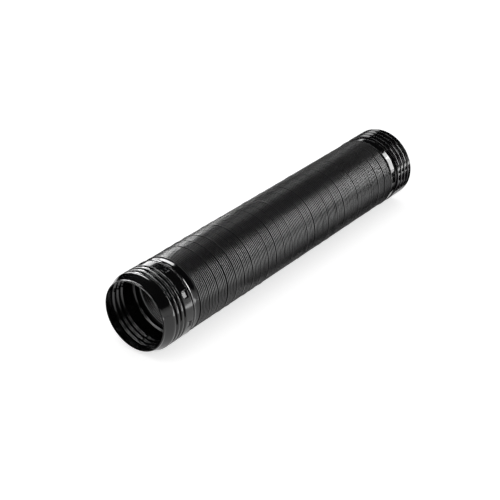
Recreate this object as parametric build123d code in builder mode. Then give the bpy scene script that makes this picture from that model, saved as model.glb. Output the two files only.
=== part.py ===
from build123d import *
import os

# Flexible drain pipe, one moulding of black polypropylene, lying on its side.
# A ringed inlet cuff, a pleated body pushed together to its short length, and
# a ribbed outlet cuff. Millimetres. +X runs from the inlet to the outlet and
# +Z is up. The origin is under the middle of the pipe, on the ground.

# Radii and the wall
cuff_radius = 58.8         # both cuffs, the largest radius
lip_inset = 5.2            # cuff radius to the edge of the inlet mouth
pleat_inset = 0.8          # cuff radius to the outer edge of every pleat
wall = 1.3                 # of both cuffs, square to the surface

# Pleated body. Pushed together, the pleats lie against each other and make
# one wall as thick as a fold is deep, open only in the grooves between them.
pleated_length = 494.0
pleat_count = 36
pleat_groove_depth = 3.5
pleat_wall = 2.5           # folds pressed together under the grooves

# Inlet cuff, in the order met from the mouth
lip_land = 3.0             # straight stretch at the mouth
lip_cone = 12.0            # widening from the lip to the collar
collar_crest = 4.6         # flat top of the collar
ring_groove_count = 3
ring_groove_width = 4.4
ring_groove_depth = 2.4
ring_crest = 4.1           # flat top between two ring grooves
bead_groove_width = 2.6
bead_groove_depth = 1.2
bead_crest = 3.0
bead_slope = 1.6           # slope from the bead down to the neck
neck_length = 8.2          # smooth waist before the pleats
neck_depth = 2.8
neck_rise = 1.4            # slope from the neck up to the first pleat

# Snap pockets pressed into a flat band between the rings and the bead. They
# stand out inside as cleats.
pocket_count = 8
first_pocket_angle = 14.0  # from the top, clockwise seen from the mouth
pocket_width = 11.0        # round the pipe
pocket_length = 9.2        # along the pipe
pocket_shallow = 1.2       # depth at the end nearer the mouth
pocket_deep = 3.4          # depth at the end nearer the pleats
ring_margin = 3.2          # last ring groove to the pockets
bead_margin = 2.4          # pockets to the bead's groove

# Outlet cuff, in the order met from the pleats
shoulder_width = 12.6
waist_width = 7.6
waist_wall = 2.4           # waist to the bore inside it
rib_groove_count = 3
rib_groove_width = 3.0
rib_groove_depth = 2.6
rib_width = 7.2
rim_width = 7.4
rim_chamfer = 1.0

# Places along the pipe, from the mouth
collar_start = lip_land + lip_cone
rings_start = collar_start + collar_crest
ring_pitch = ring_groove_width + ring_crest
band_start = rings_start + ring_groove_count * ring_pitch - ring_crest
pocket_start = band_start + ring_margin
pocket_end = pocket_start + pocket_length
band_end = pocket_end + bead_margin
bead_start = band_end + bead_groove_width
bead_end = bead_start + bead_crest
neck_start = bead_end + bead_slope
neck_end = neck_start + neck_length
body_start = neck_end + neck_rise
body_end = body_start + pleated_length
pleat_pitch = pleated_length / pleat_count
waist_start = body_end + shoulder_width
ribs_start = waist_start + waist_width
rib_pitch = rib_width + rib_groove_width
rim_start = ribs_start + rib_groove_count * rib_pitch
rim_end = rim_start + rim_width
pipe_length = rim_end + rim_chamfer

# Radii of the other places
lip_radius = cuff_radius - lip_inset
pleat_radius = cuff_radius - pleat_inset
pleat_root = pleat_radius - pleat_groove_depth
bore_radius = pleat_root - pleat_wall
neck_radius = cuff_radius - neck_depth
waist_radius = bore_radius + waist_wall
outlet_bore_radius = cuff_radius - rib_groove_depth - wall


def groove(start, width, depth):
    """A V groove turned into a cuff, as three points of its outline."""
    middle = (start + width / 2, cuff_radius - depth)
    return [(start, cuff_radius), middle, (start + width, cuff_radius)]


def mouth_outline():
    """From the lip over the collar and the ring grooves to the flat band."""
    points = [(0, lip_radius), (lip_land, lip_radius), (collar_start, cuff_radius)]
    for ring in range(ring_groove_count):
        start = rings_start + ring * ring_pitch
        points += groove(start, ring_groove_width, ring_groove_depth)
    return points


def neck_outline():
    """From the bead's crest down to the neck and along it."""
    return [(bead_end, cuff_radius), (neck_start, neck_radius), (neck_end, neck_radius)]


def pleat_outline():
    """One crest and one groove for each pleat."""
    points = []
    for pleat in range(pleat_count):
        crest = body_start + pleat * pleat_pitch
        points += [(crest, pleat_radius), (crest + pleat_pitch / 2, pleat_root)]
    return points


def shoulder_outline():
    """Over the shoulder and through the waist to the ribs."""
    points = [(body_end, cuff_radius), (waist_start, cuff_radius)]
    points += [(waist_start, waist_radius), (ribs_start, waist_radius)]
    return points


def rib_outline():
    """Flat ribs, each with a V groove after it, and the rim."""
    points = [(ribs_start, cuff_radius)]
    for rib in range(rib_groove_count):
        start = ribs_start + rib_width + rib * rib_pitch
        points += groove(start, rib_groove_width, rib_groove_depth)
    points += [(rim_end, cuff_radius), (pipe_length, cuff_radius - rim_chamfer)]
    return points


def inner_side(outline):
    """The outline moved in by the wall, with mitred corners."""
    points = [Vector(*point) for point in outline]
    runs = [(after - before).normalized() for before, after in zip(points, points[1:])]
    normals = [Vector(run.Y, -run.X) for run in runs]
    moved = []
    for point, before, after in zip(points, normals[:1] + normals, normals + normals[-1:]):
        mitre = (before + after).normalized()
        corner = point + mitre * (wall / mitre.dot(after))
        moved.append((corner.X, corner.Y))
    return moved


# The wall's section, from the mouth along the outside and back along the inside
bead_groove = groove(band_end, bead_groove_width, bead_groove_depth)
outside = mouth_outline() + bead_groove + neck_outline()
outside += pleat_outline() + shoulder_outline() + rib_outline()
inside = inner_side(mouth_outline() + neck_outline())
inside += [(neck_end, bore_radius), (ribs_start + wall, bore_radius)]
inside += [(ribs_start + wall, outlet_bore_radius), (pipe_length, outlet_bore_radius)]

pipe_axis = Axis((0, 0, cuff_radius), (1, 0, 0))
mouth = (-pipe_length / 2, 0, cuff_radius)

# A pocket and its cleat, standing at the top of a pipe whose axis is +Z
pocket_floor = [
    (cuff_radius - pocket_shallow, pocket_start),
    (cuff_radius - pocket_deep, pocket_end),
]

with BuildPart() as pocket:
    with BuildSketch(Plane.XZ):
        with BuildLine():
            Polyline(
                (cuff_radius + wall, pocket_start),
                *pocket_floor,
                (cuff_radius + wall, pocket_end),
                close=True,
            )
        make_face()
    extrude(amount=pocket_width / 2, both=True)

with BuildPart() as cleat:
    with BuildSketch(Plane.XZ):
        with BuildLine():
            Polyline(
                (cuff_radius - wall / 2, pocket_start - wall),
                (cuff_radius - pocket_shallow - wall, pocket_start - wall),
                (cuff_radius - pocket_deep - wall, pocket_end + wall),
                (cuff_radius - wall / 2, pocket_end + wall),
                close=True,
            )
        make_face()
    extrude(amount=pocket_width / 2 + wall, both=True)

with BuildPart() as drain_pipe:
    with BuildSketch(Plane(mouth, x_dir=(1, 0, 0), z_dir=(0, -1, 0))):
        with BuildLine():
            Polyline(*outside, *reversed(inside), close=True)
        make_face()
    revolve(axis=pipe_axis)
    with Locations(Plane(mouth, x_dir=(0, 0, 1), z_dir=(1, 0, 0))):
        with PolarLocations(0, pocket_count, start_angle=first_pocket_angle):
            add(cleat.part)
        with PolarLocations(0, pocket_count, start_angle=first_pocket_angle):
            add(pocket.part, mode=Mode.SUBTRACT)

drain_pipe.part.label = "drain_pipe"
os.makedirs("parts", exist_ok=True)
export_step(drain_pipe.part, "parts/drain_pipe.step")
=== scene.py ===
# %% [markdown]
# # A flexible drain pipe
# This file dresses one moulded pipe for a photograph. The pipe is black polypropylene,
# made in one mould: a ringed cuff at the inlet, a body of thin pleats pushed together
# to its short length, and a ribbed cuff at the outlet. The solid model gives its place
# and its size. The work here is on what that solid leaves out: the true number of pleats,
# soft edges, and the way that glossy black plastic mirrors the lamps round it.

import bpy
import numpy as np
from mathutils import Matrix, Quaternion, Vector


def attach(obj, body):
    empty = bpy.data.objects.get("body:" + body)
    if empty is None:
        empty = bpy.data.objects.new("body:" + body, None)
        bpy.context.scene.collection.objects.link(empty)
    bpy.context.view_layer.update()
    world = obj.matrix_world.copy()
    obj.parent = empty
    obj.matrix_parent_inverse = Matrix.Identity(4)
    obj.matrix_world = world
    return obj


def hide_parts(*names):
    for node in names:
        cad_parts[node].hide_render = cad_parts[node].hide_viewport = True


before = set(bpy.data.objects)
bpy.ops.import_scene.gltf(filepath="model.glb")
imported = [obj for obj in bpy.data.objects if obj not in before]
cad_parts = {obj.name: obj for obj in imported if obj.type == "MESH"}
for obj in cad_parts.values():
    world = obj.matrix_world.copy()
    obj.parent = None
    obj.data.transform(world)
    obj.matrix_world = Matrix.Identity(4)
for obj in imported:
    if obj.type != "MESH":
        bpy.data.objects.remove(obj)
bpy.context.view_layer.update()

# %% [markdown]
# ## Sizes
# A place on the pipe is told by two numbers: how far it is from the mouth, and how far
# from the axis. All sizes are in millimetres, as on a drawing, and are turned to metres
# in one place, where a mesh is made. The drawing has driving sizes, which a designer
# would choose, and places that follow from them.

# %% Driving sizes, in millimetres
AXIS_HEIGHT = 58.8
CUFF_RADIUS = 58.73        # a hair inside the solid, whose facets cut across the circle
LIP_INSET = 5.2
PLEAT_INSET = 0.8
WALL = 1.3

# Inlet cuff, from the mouth
LIP_LAND, LIP_CONE, COLLAR_CREST = 3.0, 12.0, 4.6
RING_COUNT, RING_WIDTH, RING_DEPTH, RING_CREST = 3, 4.4, 2.9, 4.1
RING_MARGIN, POCKET_LENGTH, BEAD_MARGIN = 3.2, 9.2, 2.4
BEAD_GROOVE_WIDTH, BEAD_GROOVE_DEPTH, BEAD_CREST, BEAD_SLOPE = 2.6, 1.2, 3.0, 1.6
NECK_LENGTH, NECK_DEPTH, NECK_RISE = 9.6, 3.2, 1.3

# Body, and outlet cuff, which has a rim after the last of the RIB_COUNT grooves
PLEATED_LENGTH = 494.0
SHOULDER_WIDTH, SHOULDER_FALL, WAIST_WIDTH, WAIST_DEPTH = 12.6, 1.2, 7.6, 4.4
RIB_COUNT, RIB_WIDTH, RIB_GROOVE_WIDTH, RIB_GROOVE_DEPTH = 3, 7.2, 3.0, 2.6
RIM_WIDTH, RIM_CHAMFER = 7.4, 1.0

# %% Places along the pipe, from the mouth
rings_start = LIP_LAND + LIP_CONE + COLLAR_CREST
ring_pitch = RING_WIDTH + RING_CREST
band_start = rings_start + RING_COUNT * ring_pitch - RING_CREST
pocket_start = band_start + RING_MARGIN
pocket_end = pocket_start + POCKET_LENGTH
band_end = pocket_end + BEAD_MARGIN
bead_start = band_end + BEAD_GROOVE_WIDTH
neck_start = bead_start + BEAD_CREST + BEAD_SLOPE
body_start = neck_start + NECK_LENGTH
body_end = body_start + PLEATED_LENGTH
waist_start = body_end + SHOULDER_WIDTH
ribs_start = waist_start + WAIST_WIDTH
rib_pitch = RIB_WIDTH + RIB_GROOVE_WIDTH
rim_start = ribs_start + RIB_COUNT * rib_pitch
pipe_length = rim_start + RIM_WIDTH + RIM_CHAMFER
print(f"the drawing says {pipe_length:.1f} mm long and {2 * CUFF_RADIUS:.1f} mm across")

# %% [markdown]
# ## A pipe from a section
# Every piece of this pipe is a closed section carried round the axis. A Screw modifier
# does that for a plain lathe shape, but here the pockets aren't round and the pleats
# aren't even. So one function makes every piece from a grid of distances and radii, with
# a row for each point of the section and a column for each angle. Where the shape is
# plain, all columns are the same.

# %% From a grid to a mesh
def carried_round(name, along, radius, angles):
    """A closed mesh from a section carried round the pipe's axis.

    along and radius are grids in millimetres, a row for each point of the closed
    section and a column for each angle. A point is at (along, -radius * sin angle,
    radius * cos angle) from the mouth's centre. Row and column after the last are the
    first again, so the surface has no edge.
    """
    points = np.empty(radius.shape + (3,))
    points[..., 0] = along - pipe_length / 2
    points[..., 1] = -radius * np.sin(angles)
    points[..., 2] = AXIS_HEIGHT + radius * np.cos(angles)
    number = np.arange(radius.size).reshape(radius.shape)
    next_row = np.roll(number, -1, axis=0)
    beside = np.roll(number, -1, axis=1)
    quads = np.stack([number, beside, np.roll(next_row, -1, axis=1), next_row], axis=-1)
    mesh = bpy.data.meshes.new(name)
    mesh.vertices.add(number.size)
    mesh.vertices.foreach_set("co", (points / 1000).ravel())
    mesh.loops.add(quads.size)
    mesh.loops.foreach_set("vertex_index", quads.ravel().astype(np.int32))
    mesh.polygons.add(number.size)
    mesh.polygons.foreach_set("loop_start", np.arange(0, quads.size, 4, dtype=np.int32))
    mesh.polygons.foreach_set("use_smooth", np.ones(number.size, dtype=bool))
    mesh.update(calc_edges=True)
    mesh.validate()
    piece = bpy.data.objects.new(name, mesh)
    bpy.context.scene.collection.objects.link(piece)
    print(f"{name}: {2 * number.size} triangles")
    return piece


# %% [markdown]
# ## Soft corners
# A moulded edge is never sharp. A black edge shows only as the thin light line where it
# turns past a lamp, and a sharp one has no such line. A Bevel modifier would round the
# finished mesh. Rounding the section instead, before it is carried round, costs few
# points and gives the same curve all the way.

# %% Rounding a section's corners
CORNER_REACH = 0.7         # mm from a corner to the ends of its curve
CORNER_STEPS = 4           # straight steps in the curve
SIDE_SHARE = 0.4           # most of a short side that one corner may take
LONGEST_STEP = 1.5         # mm between neighbouring points of a section


def softened(outline):
    """An open outline with its inner corners rounded.

    Each corner becomes the curve (1-t)^2 * before + 2t(1-t) * corner + t^2 * after,
    where before and after lie on its two sides, CORNER_REACH away or, on a short side,
    SIDE_SHARE of it.
    """
    points = np.array(outline, float)
    sides = np.diff(points, axis=0)
    lengths = np.linalg.norm(sides, axis=1)
    units = sides / lengths[:, None]
    shorter = np.minimum(lengths[:-1], lengths[1:])
    near = np.minimum(CORNER_REACH, SIDE_SHARE * shorter)[:, None]
    corner = points[1:-1]
    before = corner - units[:-1] * near
    after = corner + units[1:] * near
    t = np.linspace(0, 1, CORNER_STEPS + 1)[None, :, None]
    curve = (1 - t) ** 2 * before[:, None] + 2 * t * (1 - t) * corner[:, None]
    curve = curve + t**2 * after[:, None]
    return np.concatenate([points[:1], curve.reshape(-1, 2), points[-1:]])


def inner_side(outline):
    """The outline moved in by the wall, square to itself, with mitred corners.

    A corner moves along the sum of its two sides' normals, by WALL divided by the
    cosine of the angle between that sum and one of them.
    """
    points = np.array(outline, float)
    sides = np.diff(points, axis=0)
    sides /= np.linalg.norm(sides, axis=1)[:, None]
    inward = np.stack([sides[:, 1], -sides[:, 0]], axis=1)
    before = np.concatenate([inward[:1], inward])
    after = np.concatenate([inward, inward[-1:]])
    mitre = before + after
    mitre /= np.linalg.norm(mitre, axis=1)[:, None]
    return points + mitre * (WALL / (mitre * after).sum(axis=1))[:, None]


def filled_in(outline):
    """The outline with evenly spaced points added, so that no step is over LONGEST_STEP."""
    steps = np.linalg.norm(np.diff(outline, axis=0), axis=1)
    counts = np.maximum(1, np.ceil(steps / LONGEST_STEP)).astype(int)
    where = np.repeat(np.arange(len(steps)), counts)
    first = np.repeat(np.cumsum(counts) - counts, counts)
    share = (np.arange(len(where)) - first) / counts[where]
    between = outline[where] + share[:, None] * (outline[where + 1] - outline[where])
    return np.concatenate([between, outline[-1:]])


# %% [markdown]
# ## The inlet cuff
# From the mouth: a lip with its edge rolled off, a cone, a collar, three ring grooves, a
# flat band, a thin groove, a bead that falls away toward the neck, and a smooth neck that
# rises to the pleats. The crests between the ring grooves are crowned a little, because a
# flat crest mirrors a lamp as one hard patch and a crowned one draws it out to a line. The
# inside is the outside moved in by the wall, so each ring groove is a ridge inside, where
# it grips what is pushed in. A lathe section gives all of that.

# %% The cuff's section
RIM_ROLL = 0.9             # slope that takes the edge off the lip
CROWN = 0.3                # rise of a crest in its middle
BEAD_FALL = 0.85           # the bead's crest falls by this toward the neck
BEAD_PEAK = 0.3            # share of the bead's crest before it starts to fall
BEAD_OVERRUN = 0.4         # how far past its width the crest runs
NECK_LEVEL = 0.4           # share of the neck that is level
GROOVE_FLOOR, RING_FLOOR = 0.6, 0.25  # flat part of a groove's width


def groove(start, width, depth, flat=GROOVE_FLOOR, edge=CUFF_RADIUS):
    """A groove with a narrow flat floor, as four points of the section."""
    floor = CUFF_RADIUS - depth
    return [
        (start, edge),
        (start + width * (0.5 - flat / 2), floor),
        (start + width * (0.5 + flat / 2), floor),
        (start + width, edge),
    ]


lip_radius = CUFF_RADIUS - LIP_INSET
neck_radius = CUFF_RADIUS - NECK_DEPTH
crest_edge = CUFF_RADIUS - CROWN
mouth_part = [
    (0, lip_radius - RIM_ROLL),
    (RIM_ROLL, lip_radius),
    (LIP_LAND, lip_radius),
    (LIP_LAND + LIP_CONE, crest_edge),
    (rings_start - COLLAR_CREST / 2, CUFF_RADIUS),
]
for ring in range(RING_COUNT):
    start = rings_start + ring * ring_pitch
    mouth_part += groove(start, RING_WIDTH, RING_DEPTH, flat=RING_FLOOR, edge=crest_edge)
    mouth_part += [(start + RING_WIDTH + RING_CREST / 2, CUFF_RADIUS)]
mouth_part = mouth_part[:-1]  # the last ring has the flat band after it, and no crest
neck_part = [
    (bead_start + BEAD_PEAK * BEAD_CREST, CUFF_RADIUS),
    (bead_start + BEAD_CREST + BEAD_OVERRUN, CUFF_RADIUS - BEAD_FALL),
    (neck_start, neck_radius),
    (neck_start + NECK_LEVEL * NECK_LENGTH, neck_radius),
    (body_start, neck_radius + NECK_RISE),
]
bead_groove = groove(band_end, BEAD_GROOVE_WIDTH, BEAD_GROOVE_DEPTH)
cuff_outside = filled_in(softened(mouth_part + bead_groove + neck_part))
rim_inside = [(0, lip_radius - WALL), (LIP_LAND, lip_radius - WALL)]
inner_run = [*rim_inside, *inner_side(mouth_part[2:] + neck_part)[1:]]
cuff_inside = filled_in(softened(inner_run))[::-1]
print(f"inlet cuff's section: {len(cuff_outside)} points outside, {len(cuff_inside)} inside")

# %% [markdown]
# ## Snap pockets and broken ridges
# Eight pockets are pressed into the flat band, and stand out inside as cleats. They could
# be cut with a Boolean, but a thin wall with cuts on both sides often comes out of that
# with flaws. Here a pocket is a dent: a depth that is nought outside a small rectangle,
# and slopes from one end of it to the other. The same depth, a wall's width wider, is
# taken from the inside. In the same way, the ridges inside are lowered at every second
# pocket, where the mould leaves a break in them.
#
# A dent is only as sharp as the grid under it, so grid lines are put just where its edges
# are, both round the cuff and along it.

# %% Angles round the inlet cuff
POCKET_COUNT = 8
FIRST_POCKET = 14.0        # degrees from the top, clockwise seen from the mouth
POCKET_WIDTH = 11.0
POCKET_SHALLOW, POCKET_DEEP = 0.2, 1.7
EDGE_RUN = 0.5             # width of a dent's side wall, seen from above
NOTCH_COUNT = 4
NOTCH_WIDTH = 6.0
NOTCH_DEPTH = 1.0
CUFF_SEGMENTS = 160        # evenly spaced angles round a cuff
TOO_NEAR = 0.45            # degrees from an edge within which a plain angle is left out


def edge_angles(count, half_width):
    """The angles of both edges of so many dents, in degrees, for a half width in mm."""
    centres = FIRST_POCKET + np.arange(count) * 360 / count
    edges = np.degrees(np.array([half_width - EDGE_RUN, half_width]) / CUFF_RADIUS)
    return (centres[:, None] + np.concatenate([-edges, edges])).ravel() % 360


def cuff_angles():
    """Evenly spaced angles, with the dents' edges put in and what crowds them left out."""
    edges = np.concatenate([
        edge_angles(POCKET_COUNT, POCKET_WIDTH / 2),
        edge_angles(POCKET_COUNT, POCKET_WIDTH / 2 + WALL),
        edge_angles(NOTCH_COUNT, NOTCH_WIDTH / 2),
    ])
    plain = np.arange(CUFF_SEGMENTS) * 360 / CUFF_SEGMENTS
    apart = np.abs((plain[:, None] - edges + 180) % 360 - 180).min(axis=1)
    return np.radians(np.sort(np.concatenate([plain[apart > TOO_NEAR], edges])))


def inside_window(value, low, high):
    """1 between low and high, 0 outside, with a straight ramp of EDGE_RUN at each end."""
    return np.clip(np.minimum(value - low, high - value) / EDGE_RUN, 0, 1)


def off_centre(angles, count):
    """Distance round the cuff to the nearest of so many evenly spaced centres, in mm."""
    step = 360 / count
    away = (np.degrees(angles) - FIRST_POCKET + step / 2) % step - step / 2
    return np.radians(np.abs(away)) * CUFF_RADIUS


# %% Pressing in the pockets, and carrying the section round
def dent(along, angles, margin):
    """Depth of the pockets, in mm: a slope along the pipe times a window both ways.

    A pocket's floor is flat and the cuff is round, so away^2 / (2 * radius) comes off.
    """
    share = np.clip((along - pocket_start) / POCKET_LENGTH, 0, 1)
    slope = POCKET_SHALLOW + (POCKET_DEEP - POCKET_SHALLOW) * share
    lengthwise = inside_window(along, pocket_start - margin, pocket_end + margin)
    away = off_centre(angles, POCKET_COUNT)
    across = inside_window(away, -np.inf, POCKET_WIDTH / 2 + margin)
    bulge = away**2 / (2 * CUFF_RADIUS)
    return (slope - bulge) * lengthwise * across


def with_rows_at(outline, places):
    """The outline with a point added at each of these distances from the mouth."""
    order = 1 if outline[-1, 0] > outline[0, 0] else -1
    radii = np.interp(places, outline[::order, 0], outline[::order, 1])
    joined = np.concatenate([outline, np.stack([places, radii], axis=1)])
    return joined[np.argsort(order * joined[:, 0], kind="stable")]


def inlet_cuff():
    """The section carried round, with the pockets pressed in and the ridges broken.

    The dent is taken from both radii, a wall's width wider inside. A ridge's height is
    how far it stands in from the band's inside, and a break takes off up to NOTCH_DEPTH.
    """
    angles = cuff_angles()
    edges = np.array([pocket_start, pocket_start + EDGE_RUN, pocket_end - EDGE_RUN, pocket_end])
    steps_in = np.array([-WALL, EDGE_RUN - WALL, WALL - EDGE_RUN, WALL])
    outer = with_rows_at(cuff_outside, edges)
    inner = with_rows_at(cuff_inside, edges[[0, 0, 3, 3]] + steps_in)
    section = np.concatenate([outer, inner])
    along = np.repeat(section[:, :1], len(angles), axis=1)
    radius = np.repeat(section[:, 1:], len(angles), axis=1)
    radius[: len(outer)] -= dent(along[: len(outer)], angles, 0)
    radius[len(outer):] -= dent(along[len(outer):], angles, WALL)
    ridge = inside_window(along[len(outer):], rings_start, band_start)
    height = np.clip(CUFF_RADIUS - WALL - radius[len(outer):], 0, NOTCH_DEPTH)
    broken = inside_window(off_centre(angles, NOTCH_COUNT), -np.inf, NOTCH_WIDTH / 2)
    radius[len(outer):] += ridge * height * broken
    return carried_round("inlet_cuff", along, radius, angles)


inlet = inlet_cuff()

# %% [markdown]
# ## The pleated body
# Drawn out, the body is a zigzag wall. Pushed together, the folds lie against each other,
# and what shows is their outer edges: crests about 2 mm wide, with a thin deep gap before
# each. The mould is made of short blocks of six pleats, and where two blocks meet the gap
# is a little wider, or the first crest a little prouder. Those few lines are what the eye
# catches, because the rest is finer than it can follow.
#
# An Array modifier would repeat one pleat exactly, but pleats that were pushed together
# by hand are never quite even. So the gaps are seeded random numbers, and each varies
# slowly round the pipe. Adding up the widths of crests and gaps gives each pleat's place,
# and scaling the gaps makes the sum come out at the length of the body.

# %% Widths of the gaps
PLEAT_COUNT = 150
BLOCK_PLEATS = 6
PLEAT_SEGMENTS = 104       # angles round the body
CREST_SHARE = 0.61         # part of the mean pitch that is crest
GAP_UNEVEN = 0.15          # a gap differs from the mean by up to this share
GAP_SWELL = 0.25           # share by which one gap varies round the pipe
BLOCK_GAP = 1.5            # most that is added between two blocks, in mean gaps
BLOCK_GAP_LEAST = 0.1      # least, as a share of the most
crest_width = CREST_SHARE * PLEATED_LENGTH / PLEAT_COUNT
first_in_block = (np.arange(PLEAT_COUNT) % BLOCK_PLEATS == 0)[:, None]
random = np.random.default_rng(11)
pleat_angles = np.arange(PLEAT_SEGMENTS) * 2 * np.pi / PLEAT_SEGMENTS


def swell(sharpness):
    """For each pleat ((1 + cos(angle - start)) / 2) ^ sharpness, with a random start."""
    start = random.uniform(0, 2 * np.pi, (PLEAT_COUNT, 1))
    return ((1 + np.cos(pleat_angles - start)) / 2) ** sharpness


def gap_widths():
    """Widths of the gaps before each pleat, a row for each pleat, that sum to what is left."""
    uneven = 1 + random.uniform(-GAP_UNEVEN, GAP_UNEVEN, (PLEAT_COUNT, 1))
    uneven = uneven + GAP_SWELL * (swell(1) - 0.5)
    opened = BLOCK_GAP * random.uniform(BLOCK_GAP_LEAST, 1, (PLEAT_COUNT, 1)) * swell(0.4)
    widths = uneven + first_in_block * opened
    return widths * (PLEATED_LENGTH - PLEAT_COUNT * crest_width) / widths.sum(axis=0)


gaps = gap_widths()
crests_before = np.arange(PLEAT_COUNT)[:, None] * crest_width
crest_starts = body_start + np.cumsum(gaps, axis=0) + crests_before
print(f"{PLEAT_COUNT} pleats, gaps from {gaps.min():.2f} to {gaps.max():.2f} mm")

# %% [markdown]
# ## The shape of a pleat
# Outside, a pleat has one point deep in its gap and ten over its crest. The crest rises
# steeply from the gap, is highest near its mouth side and leans down toward the outlet,
# as a fold does that is pressed over, and that lean decides which lamp it mirrors. Inside
# there are four points: the fold's nose is under the gap, and its hollow is under the
# crest. The outer points are laid down pleat by pleat to the far end, and the inner ones
# come back, so the section closes. The body is made in three pieces, because one mesh of
# all pleats would have nearly half a million triangles, and be slow to work with.

# %% Sizes of a pleat
CREST_ACROSS = np.array([0.0, 0.01, 0.05, 0.15, 0.4, 0.6, 0.8, 0.92, 0.98, 1.0])
CREST_DROP = np.array([2.2, 0.12, 0.02, 0.0, 0.05, 0.13, 0.24, 0.33, 0.5, 2.2])
PROUD_SHARE = np.array([0, 0, 0.3, 1, 1, 1, 1, 1, 0, 0])  # of each point, on a proud crest
GAP_DEPTH = 4.6            # outer edge of a pleat to the bottom of its gap
FOLD_DEPTH = 6.0           # outer edge of a pleat to its inner edge
INNER_DROP = np.array([0.0, 0.5, 3.2, 0.5])  # from the nose out to the hollow, and back
CREST_UNEVEN = 0.18        # crests differ in height by up to this, in mm, either way
PROUD_RISE = 0.45          # how far a proud crest stands out
FIRST_CHANCE, OTHER_CHANCE = 0.5, 0.03  # that a block's first crest is proud, or another
pleat_radius = CUFF_RADIUS - PLEAT_INSET
gap_radius = pleat_radius - GAP_DEPTH
bore_radius = pleat_radius - FOLD_DEPTH
crest_heights = random.uniform(-CREST_UNEVEN, CREST_UNEVEN, (PLEAT_COUNT, 1))
crest_heights = pleat_radius - CREST_UNEVEN + crest_heights * swell(0.5)
chance = np.where(first_in_block, FIRST_CHANCE, OTHER_CHANCE)
is_proud = random.uniform(0, 1, (PLEAT_COUNT, 1)) < chance
proud = PROUD_RISE * is_proud * swell(0.3)
print(f"{is_proud.sum()} proud crests, and a bore of {bore_radius:.1f} mm radius")

# %% Laying the pleats in a row
gap_middles = crest_starts - gaps / 2
pleat_ends = np.concatenate([gap_middles[1:], np.full((1, PLEAT_SEGMENTS), body_end)])


def pleats(name, first, last):
    """Pleats first to last of the body, as one closed ring of folded wall.

    Outside, a pleat's rows are at its gap's middle and at CREST_ACROSS of its crest.
    Inside, they are at the gap's middle, and a quarter, half and three quarters of the
    way to the next gap.
    """
    begin = gap_middles[first:last, None]
    crest = crest_starts[first:last, None] + crest_width * CREST_ACROSS[:, None]
    height = crest_heights[first:last, None] - CREST_DROP[:, None]
    height = height + proud[first:last, None] * PROUD_SHARE[:, None]
    quarters = np.arange(4)[:, None] / 4
    inner = begin + quarters * (pleat_ends[first:last, None] - begin)
    inner_height = bore_radius + INNER_DROP[:, None] + 0 * inner
    far_end = pleat_ends[last - 1][None]
    along = [np.concatenate([begin, crest], axis=1), far_end, far_end, inner[::-1, ::-1]]
    radius = [np.concatenate([0 * begin + gap_radius, height], axis=1)]
    radius += [0 * far_end + gap_radius, 0 * far_end + bore_radius, inner_height[::-1, ::-1]]
    along, radius = (
        np.concatenate([part.reshape(-1, PLEAT_SEGMENTS) for part in grid])
        for grid in (along, radius)
    )
    return carried_round(name, along, radius, pleat_angles)


third = PLEAT_COUNT // 3
body_pieces = [
    pleats("pleats_inlet_third", 0, third),
    pleats("pleats_middle_third", third, 2 * third),
    pleats("pleats_outlet_third", 2 * third, PLEAT_COUNT),
]

# %% [markdown]
# ## The outlet cuff
# A broad smooth shoulder that falls a little toward the end, a deep waist, and four flat
# ribs with a groove between each two. Nothing on it is out of round, so its grid has the
# same column at every angle. Its section starts and ends at the bore beside the last
# pleat.

# %% Section of the outlet cuff
WAIST_RUN = 0.6            # slope of the waist's two walls, along the pipe
SEAM_STEP = 0.01           # how far short of its start the section ends
waist_radius = CUFF_RADIUS - WAIST_DEPTH
outlet_bore = CUFF_RADIUS - RIB_GROOVE_DEPTH - WALL
outlet_section = [
    (body_end, bore_radius),
    (body_end, CUFF_RADIUS),
    (waist_start, CUFF_RADIUS - SHOULDER_FALL),
    (waist_start + WAIST_RUN, waist_radius),
    (ribs_start - WAIST_RUN, waist_radius),
    (ribs_start, CUFF_RADIUS),
]
for rib in range(RIB_COUNT):
    groove_start = ribs_start + RIB_WIDTH + rib * rib_pitch
    outlet_section += groove(groove_start, RIB_GROOVE_WIDTH, RIB_GROOVE_DEPTH)
outlet_section += [
    (pipe_length, CUFF_RADIUS),
    (pipe_length, outlet_bore),
    (ribs_start + WALL, outlet_bore),
    (ribs_start + WALL, bore_radius),
    (body_end + SEAM_STEP, bore_radius),
]


def outlet_cuff():
    """The outlet's closed section, the same at every angle.

    Its last point is all but on its first, and is left out.
    """
    angles = np.arange(CUFF_SEGMENTS) * 2 * np.pi / CUFF_SEGMENTS
    section = filled_in(softened(outlet_section))[:-1]
    along = np.repeat(section[:, :1], len(angles), axis=1)
    radius = np.repeat(section[:, 1:], len(angles), axis=1)
    return carried_round("outlet_cuff", along, radius, angles)


outlet = outlet_cuff()

# %% [markdown]
# ## Moulded polypropylene
# The pipe is black polypropylene, coloured right through and left as it came from the
# mould. Such plastic is a smooth dielectric with an index near 1.49, so it is almost black
# where nothing bright is mirrored, and shows lamps as soft-edged patches. What keeps it
# from looking like glass is small: the skin is faintly uneven, and handling leaves it a
# little duller in places. Both come from noise in Object coordinates, with sizes in metres.
#
# The cuffs kept the mould's gloss. The pleats are thinner, and were flexed and rubbed
# against each other, so theirs is a duller finish of the same plastic: it spreads a lamp
# into a broad grey sheen.

# %% Colours and nodes
def linear(hex_colour):
    """A linear colour from an sRGB hex string, c/12.92 below 0.04045, else a 2.4 power."""
    srgb = np.array([int(hex_colour[i : i + 2], 16) / 255 for i in (1, 3, 5)])
    value = np.where(srgb <= 0.04045, srgb / 12.92, ((srgb + 0.055) / 1.055) ** 2.4)
    return (*value.tolist(), 1.0)


def bare_material(name):
    """A material with nothing in its node tree yet, and that tree."""
    material = bpy.data.materials.new(name)
    material.use_nodes = True
    material.node_tree.nodes.clear()
    return material, material.node_tree


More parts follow.
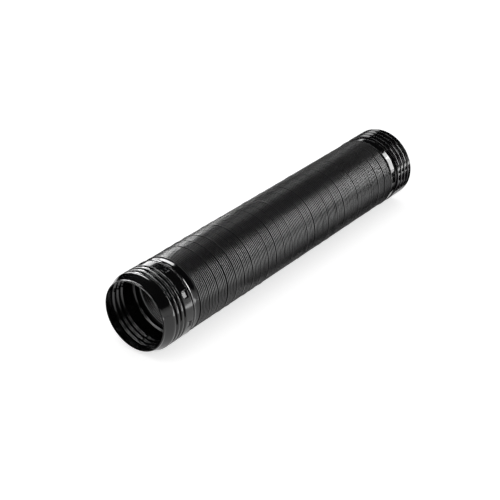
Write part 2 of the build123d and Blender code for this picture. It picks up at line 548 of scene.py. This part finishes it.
def node(tree, kind, links=(), **settings):
    """Adds a node, sets its properties or unlinked inputs, and links its inputs."""
    made = tree.nodes.new(kind)
    for key, value in settings.items():
        if hasattr(made, key):
            setattr(made, key, value)
        else:
            made.inputs[key.replace("_", " ")].default_value = value
    for name, source in dict(links).items():
        tree.links.new(source, made.inputs[name])
    return made


# %% The plastic
PELLET_BLACK = "#0d0d0e"   # so dark that the eye sees little but mirrored light
SKIN_GRAIN = 0.0016        # metres between the low hills of the moulded skin
SKIN_HEIGHT = 0.0002       # metres, at a bump strength of 1
HANDLING = 0.035           # metres between duller places


def polypropylene(name, glossiest, dullest):
    """Black polypropylene: uneven skin and duller places from noise, over the given gloss.

    Noise seldom leaves 0.3 to 0.7, so that range is spread over the two roughnesses.
    """
    material, tree = bare_material(name)
    place = node(tree, "ShaderNodeTexCoord").outputs["Object"]
    skin = node(tree, "ShaderNodeTexNoise", {"Vector": place}, Scale=1 / SKIN_GRAIN, Detail=2.0)
    bump = node(
        tree, "ShaderNodeBump", {"Height": skin.outputs["Fac"]},
        Strength=0.06, Distance=SKIN_HEIGHT,
    )
    dull = node(tree, "ShaderNodeTexNoise", {"Vector": place}, Scale=1 / HANDLING, Detail=6.0)
    roughness = node(
        tree, "ShaderNodeMapRange", {"Value": dull.outputs["Fac"]},
        From_Min=0.3, From_Max=0.7, To_Min=glossiest, To_Max=dullest,
    )
    plastic = node(
        tree, "ShaderNodeBsdfPrincipled",
        {"Roughness": roughness.outputs["Result"], "Normal": bump.outputs["Normal"]},
        Base_Color=linear(PELLET_BLACK), IOR=1.49,
    )
    node(tree, "ShaderNodeOutputMaterial", {"Surface": plastic.outputs["BSDF"]})
    return material


# Cuffs: black, with lamps as clear white patches whose edges are a little soft
moulded = polypropylene("moulded_polypropylene", 0.09, 0.16)
# Pleats: black, with lamps spread into a grey sheen
flexed = polypropylene("flexed_polypropylene", 0.27, 0.34)
for piece in (inlet, *body_pieces, outlet):
    piece.data.materials.append(flexed if piece in body_pieces else moulded)
    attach(piece, "root")
    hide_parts("drain_pipe")
    print(piece.name, "is", piece.data.materials[0].name)

# %% [markdown]
# ## Floor and surroundings
# The pipe lies on a pale floor in front of white. That white is given to camera, glossy
# and transmission rays alone, so it puts no extra light on the pipe. Round a
# photographer's table the room itself is dark, and glossy black shows it: a black tent
# stands for that room. Over the floor lie black and white cards that paint the pipe's
# reflections: the black ones are painted dark reflections of the floor, and the white
# ones glow, as painted light in its sheen and its mouth. Only glossy rays see the tent,
# the cards and the wall, so the floor's own look and shadow stay as they are.

# %% Floor
FLOOR_WHITE = "#e8e8e8"
FLOOR_REACH = 6.0          # metres from the middle to each side
FLOOR_LIFT = 0.68          # takes the lit floor to white where it is seen


def stage_object(name, points, faces):
    """A mesh object that isn't part of the pipe."""
    mesh = bpy.data.meshes.new(name)
    mesh.from_pydata(points, [], faces)
    item = bpy.data.objects.new(name, mesh)
    bpy.context.scene.collection.objects.link(item)
    print("stage:", name)
    return item


def seen_white(tree):
    """1 for camera, glossy and transmission rays, and 0 for the rest."""
    path = node(tree, "ShaderNodeLightPath").outputs
    seen = path["Is Camera Ray"]
    for kind in ("Is Glossy Ray", "Is Transmission Ray"):
        seen = node(tree, "ShaderNodeMath", {0: seen, 1: path[kind]}, operation="MAXIMUM").outputs[0]
    return seen


def pale_floor():
    """A large plane that is lit as usual and, where it is seen, a little whiter."""
    far = FLOOR_REACH
    corners = [(-far, -far, 0), (far, -far, 0), (far, far, 0), (-far, far, 0)]
    floor = stage_object("floor", corners, [(0, 1, 2, 3)])
    material, tree = bare_material("pale_floor")
    paper = node(tree, "ShaderNodeBsdfDiffuse", Color=linear(FLOOR_WHITE))
    lift = node(tree, "ShaderNodeMath", {0: seen_white(tree)}, operation="MULTIPLY")
    lift.inputs[1].default_value = FLOOR_LIFT
    glow = node(tree, "ShaderNodeEmission", {"Strength": lift.outputs[0]})
    both = node(tree, "ShaderNodeAddShader", {0: paper.outputs[0], 1: glow.outputs[0]})
    node(tree, "ShaderNodeOutputMaterial", {"Surface": both.outputs[0]})
    floor.data.materials.append(material)


# %% Tent, wall and cards
TENT_RADIUS = 3.0
TENT_TOP, TENT_ROWS, TENT_STEP = 88, 12, 15  # degrees up, rows, degrees between columns
WALL_RADIUS, WALL_HEIGHT = 2.8, 1.4
WALL_ARC = (-105.0, -42.0)  # degrees from +X
WALL_POINTS = 25
WALL_FULL = 0.3            # share of the wall's height up to which it is at its brightest


def seen_in_gloss(name, points, faces, strength, across="Z", bright_at=1.0, dark_at=0.0):
    """A stage mesh that only glossy rays see: bright at one place and black at another.

    Its light is strength * (place - dark_at) / (bright_at - dark_at) along one axis,
    held between 0 and strength.
    """
    item = stage_object(name, points, faces)
    material, tree = bare_material(name)
    place = node(tree, "ShaderNodeTexCoord").outputs["Object"]
    axes = node(tree, "ShaderNodeSeparateXYZ", {"Vector": place})
    fade = node(
        tree, "ShaderNodeMapRange", {"Value": axes.outputs[across]},
        From_Min=dark_at, From_Max=bright_at, To_Min=0.0, To_Max=strength,
    )
    light = node(tree, "ShaderNodeEmission", {"Strength": fade.outputs["Result"]})
    node(tree, "ShaderNodeOutputMaterial", {"Surface": light.outputs[0]})
    item.data.materials.append(material)
    item.visible_camera = item.visible_diffuse = item.visible_shadow = False
    item.visible_transmission = item.visible_volume_scatter = False


def black_tent():
    """Half a sphere over the table: (cos up * cos round, cos up * sin round, sin up)."""
    rises = np.radians(np.linspace(0, TENT_TOP, TENT_ROWS))
    turns = np.radians(np.arange(0, 360, TENT_STEP))
    up, around = np.meshgrid(rises, turns, indexing="ij")
    points = np.stack([np.cos(up) * np.cos(around), np.cos(up) * np.sin(around), np.sin(up)], axis=-1)
    number = np.arange(up.size).reshape(up.shape)
    across = np.roll(number, -1, axis=1)
    quads = np.stack([number[:-1], across[:-1], across[1:], number[1:]], axis=-1).reshape(-1, 4)
    faces = [*quads.tolist(), number[-1].tolist()]
    seen_in_gloss("black_tent", (TENT_RADIUS * points).reshape(-1, 3).tolist(), faces, 0.0)


def white_wall(strength):
    """The studio's white wall to the right, an arc that fades out at its top."""
    around = np.radians(np.linspace(*WALL_ARC, WALL_POINTS))
    foot = WALL_RADIUS * np.stack([np.cos(around), np.sin(around), 0 * around], axis=-1)
    points = np.concatenate([foot, foot + (0, 0, WALL_HEIGHT)]).tolist()
    count = len(foot)
    faces = [(i, i + 1, i + 1 + count, i + count) for i in range(count - 1)]
    full_at = WALL_FULL * WALL_HEIGHT
    seen_in_gloss("white_wall", points, faces, strength, bright_at=full_at, dark_at=WALL_HEIGHT)


def floor_card(name, low, high, strength=0.0, bright_at=1.0, dark_at=0.0, raised=0.002):
    """A card that lies just over the floor, between two corners, and fades along Y."""
    (left, near), (right, far) = low, high
    points = [(left, near, raised), (right, near, raised), (right, far, raised), (left, far, raised)]
    seen_in_gloss(name, points, [(0, 1, 2, 3)], strength, "Y", bright_at, dark_at)


# %% World, and setting up the stage
def white_world(level):
    """White where it is seen, and a soft light of the given level on everything else."""
    world = bpy.data.worlds.new("studio")
    bpy.context.scene.world = world
    world.use_nodes = True
    tree = world.node_tree
    tree.nodes.clear()
    strength = node(tree, "ShaderNodeMapRange", {"Value": seen_white(tree)}, To_Min=level, To_Max=1.0)
    white = node(
        tree, "ShaderNodeBackground", {"Strength": strength.outputs[0]},
        Color=linear("#ffffff"),
    )
    node(tree, "ShaderNodeOutputWorld", {"Surface": white.outputs[0]})


pale_floor()
black_tent()
white_wall(1.2)
# Black: to the left of the pipe and behind it, a painted dark reflection of the floor there
floor_card("left_card", (-0.03, 0.06), (3.5, 3.5))
# Black: in front of the mouth
floor_card("front_card", (-2.0, -2.0), (-0.36, 1.0))
# White and glowing: painted light along the right side of the pipe, fading out toward it,
# which the pleats mirror as the lower part of their sheen
floor_card("side_card", (-0.08, -0.6), (1.1, -0.05), 6.0, -0.24, -0.07)
# Black: painted shade past the outlet, where the pipe's shadow lies, so the outlet mirrors
# the floor dark there, and further out and more to the right, over the white card
floor_card("outlet_card", (0.36, -0.16), (0.9, 0.1), raised=0.003)
floor_card("rib_card", (0.46, -0.3), (0.9, 0.1), raised=0.004)
# White and glowing: painted light before the mouth's foot, fading out to the right, which
# the ridges inside the mouth mirror
floor_card("mouth_card", (-0.52, -0.06), (-0.33, 0.2), 2.5, 0.1, -0.1, raised=0.004)
white_world(0.56)

# %% [markdown]
# ## Lamps
# Black plastic is lit by what it mirrors, so each softbox was placed by mirroring: the
# camera's ray to a place on the pipe, turned about the normal there, shows where a lamp
# must be to light that place. All softboxes light gloss alone. The comment over each one
# says what it is there for. A single wide lamp overhead, which gloss doesn't see, gives
# the floor its level and the pipe its shadow.

# %% Softboxes
def softbox(name, centre, target, size, radiance, in_gloss=True, roll=0.0):
    """A rectangular lamp at centre that faces target, of a given radiance, in metres.

    Its power is radiance * pi * area, which is what an area lamp spreads into the half
    space in front of it. Roll turns it about the line to its target, in degrees.
    """
    lamp = bpy.data.lights.new(name, "AREA")
    lamp.shape = "RECTANGLE"
    lamp.size, lamp.size_y = size
    lamp.energy = radiance * np.pi * size[0] * size[1]
    item = bpy.data.objects.new(name, lamp)
    item.location = centre
    facing = (Vector(target) - Vector(centre)).to_track_quat("-Z", "Y")
    item.rotation_euler = (facing @ Quaternion((0, 0, 1), np.radians(roll))).to_euler()
    item.visible_camera = False
    item.visible_glossy = in_gloss
    item.visible_diffuse = not in_gloss
    bpy.context.scene.collection.objects.link(item)


# %% Placing the lamps
near_cuff = (-0.25, 0.0, 0.11)
# White on the near cuff's collar, rings and pocket band, at its top left
softbox("left_low", (0.118, 0.519, 0.256), near_cuff, (0.36, 0.26), 5.0)
# The light edge along the upper left of the nearer pleats
softbox("left_far", (0.27, 0.472, 0.15), near_cuff, (0.12, 0.2), 10.0)
# Crests of the collar and rings higher up, and the crescent on the neck
softbox("left_high", (-0.051, 0.332, 0.555), near_cuff, (0.12, 0.5), 16.0, roll=19)
# The broad sheen along the pleats, and the right of the outlet cuff
softbox("end_softbox", (1.0, -0.30, 0.22), (0.0, -0.30, 0.22), (0.3, 0.5), 8.5, roll=-36)
# The bright patch on the outlet's shoulder, and the upper side of the sheen
softbox("end_low", (1.24, -0.36, 0.28), (0.0, -0.05, 0.08), (0.15, 0.35), 9.5)
# Tops of the outlet's ribs, and the far pleats beside them
softbox("end_left", (1.065, 0.635, 0.36), (0.29, 0.0, 0.1), (0.2, 0.4), 1.8)
# The snap pocket on the right, and the crests beside it
softbox("kicker", (0.6, -0.556, 0.217), near_cuff, (0.16, 0.14), 8.0)
# The thin line along the lip's rolled edge
softbox("lip_softbox", (-0.5, 0.66, 0.35), (-0.31, 0.02, 0.11), (0.07, 0.36), 14.0, roll=-40)
# Ridges inside the mouth, and the sides of the ring grooves outside
softbox("mouth_softbox", (-0.965, 0.265, 0.665), (-0.3, 0, 0.03), (0.45, 0.25), 9.0)
# The lowest of the ridges inside the mouth
softbox("front_low", (-1.18, 0.33, 0.30), (-0.28, 0.02, 0.01), (0.6, 0.12), 7.0)
# Short marks down the sides of the ring grooves, and on the ridges
softbox("front_softbox", (-1.25, -0.42, 0.42), near_cuff, (0.3, 0.2), 6.0)
# What is seen of the bore through the mouth
softbox("inner_softbox", (-1.02, -0.24, 0.66), (-0.24, 0.03, 0.02), (0.24, 0.24), 10.0)
# A faint light low inside the lip
softbox("rim_softbox", (-0.85, -0.1, 0.95), (-0.3, 0, 0.1), (0.6, 0.3), 5.0)
# The floor's level, and the pipe's shadow
softbox("overhead_lamp", (-0.2, 0.2, 1.8), (0, 0, 0), (1.6, 1.6), 0.35, in_gloss=False)
print(len(bpy.data.lights), "lamps")

# %% [markdown]
# ## Camera
# A long lens looks down on the near cuff. The camera stands on a circle round the pipe's
# middle, and is then moved a little sideways and down, so that the pipe sits in the
# picture where it should without any lens shift.

# %% Camera
CAMERA_ELEVATION = 28.8    # degrees above the floor
CAMERA_TURN = 37.3         # degrees from the pipe's axis
CAMERA_DISTANCE = 2.0      # metres from the middle of the pipe
CAMERA_ASIDE, CAMERA_RAISED = -0.0319, -0.0292
LENS_PIXELS, FRAME_PIXELS, SENSOR = 1310.0, 500, 36.0

up, turn = np.radians([CAMERA_ELEVATION, CAMERA_TURN])
forward = Vector((np.cos(up) * np.cos(turn), np.cos(up) * np.sin(turn), -np.sin(up)))
right = Vector((np.sin(turn), -np.cos(turn), 0.0))
upward = right.cross(forward)
middle = Vector((0, 0, AXIS_HEIGHT / 1000))
place = middle - CAMERA_DISTANCE * forward + CAMERA_ASIDE * right + CAMERA_RAISED * upward
camera = bpy.data.objects.new("camera", bpy.data.cameras.new("camera"))
camera.data.sensor_width = SENSOR
camera.data.lens = LENS_PIXELS / FRAME_PIXELS * SENSOR
facing = Matrix((right, upward, -forward)).transposed().to_4x4()
camera.matrix_world = Matrix.Translation(place) @ facing
bpy.context.scene.collection.objects.link(camera)
bpy.context.scene.camera = camera
bpy.context.scene.view_settings.view_transform = "Standard"
print(f"camera at {[round(value, 3) for value in place]}, lens {camera.data.lens:.1f} mm")
